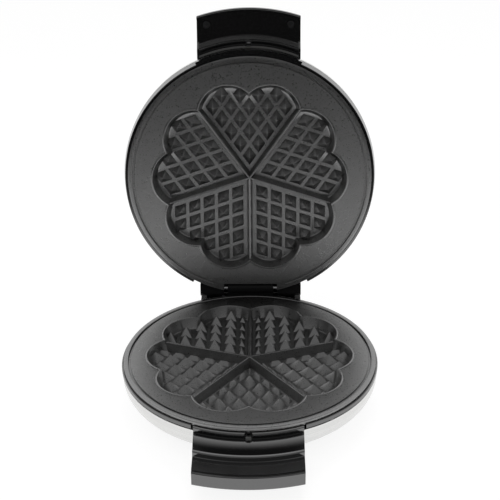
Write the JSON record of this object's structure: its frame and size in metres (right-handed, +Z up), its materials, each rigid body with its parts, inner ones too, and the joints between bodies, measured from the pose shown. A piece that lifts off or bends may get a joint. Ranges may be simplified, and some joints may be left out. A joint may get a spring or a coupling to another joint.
{
  "type": "waffle maker",
  "caption": "Open heart waffle maker with dark studded plates, pale steel shells, black handles and a rear hinge",
  "frame": {"origin": "middle of the open waffle maker's outline on the table, seen from above", "axes": "+X to the right seen from the handle side, +Y from the handle to the hinge, +Z up"},
  "size_m": [0.226, 0.3258, 0.304],
  "materials": {
    "coated_aluminium": "dark non-stick coating on cast aluminium, fine grain",
    "brushed_steel": "pale brushed stainless sheet",
    "black_plastic": "black moulded plastic, satin to glossy",
    "matte_black": "black moulded plastic, matte",
    "pin_steel": "bright turned steel",
    "fastener_steel": "dark zinc-coated steel",
    "foot_rubber": "black rubber",
    "heater_steel": "dull steel tube",
    "shield_aluminium": "plain aluminium sheet",
    "ceramic": "off-white ceramic",
    "red_lens": "clear red lens",
    "green_lens": "clear green lens",
    "bush_plastic": "natural bearing plastic"
  },
  "bodies": {
    "base": {"base_shell": "brushed_steel", "base_bezel": "black_plastic", "lower_plate": "coated_aluminium", "lower_handle_liner": "black_plastic", "lower_handle_cover": "black_plastic", "lower_handle_screws": "fastener_steel", "hinge_housing": "black_plastic", "hinge_housing_cover": "matte_black", "hinge_pin": "pin_steel", "bottom_cover": "matte_black", "bottom_screws": "fastener_steel", "hinge_cover_screws": "fastener_steel", "front_feet": "foot_rubber", "rear_feet": "foot_rubber", "lower_heater": "heater_steel", "lower_heat_shield": "shield_aluminium", "lower_plate_screws": "fastener_steel", "terminal_block": "ceramic", "thermal_fuse": "ceramic", "cord_gland": "matte_black"},
    "lid": {"lid_shell": "brushed_steel", "lid_bezel": "black_plastic", "upper_plate": "coated_aluminium", "upper_handle_liner": "black_plastic", "upper_handle_cover": "black_plastic", "upper_handle_screws": "fastener_steel", "lid_hinge_bracket": "black_plastic", "hinge_bushes": "bush_plastic", "upper_heater": "heater_steel", "upper_heat_shield": "shield_aluminium", "upper_plate_screws": "fastener_steel", "thermostat": "ceramic", "ready_lamp": "green_lens", "power_lamp": "red_lens"},
    "dial": {"control_dial": "matte_black", "dial_shaft": "pin_steel"}
  },
  "joints": [
    {"name": "lid_hinge", "type": "hinge", "parent": "base", "child": "lid", "pos_m": [0, 0.0872, 0.0555], "axis": [1, 0, 0], "range_deg": [0, 98.6]},
    {"name": "dial_turn", "type": "hinge", "parent": "lid", "child": "dial", "pos_m": [0, 0.15639, 0.24883], "axis": [0, 0.9888, -0.1495], "range_deg": [0, 270]}
  ]
}
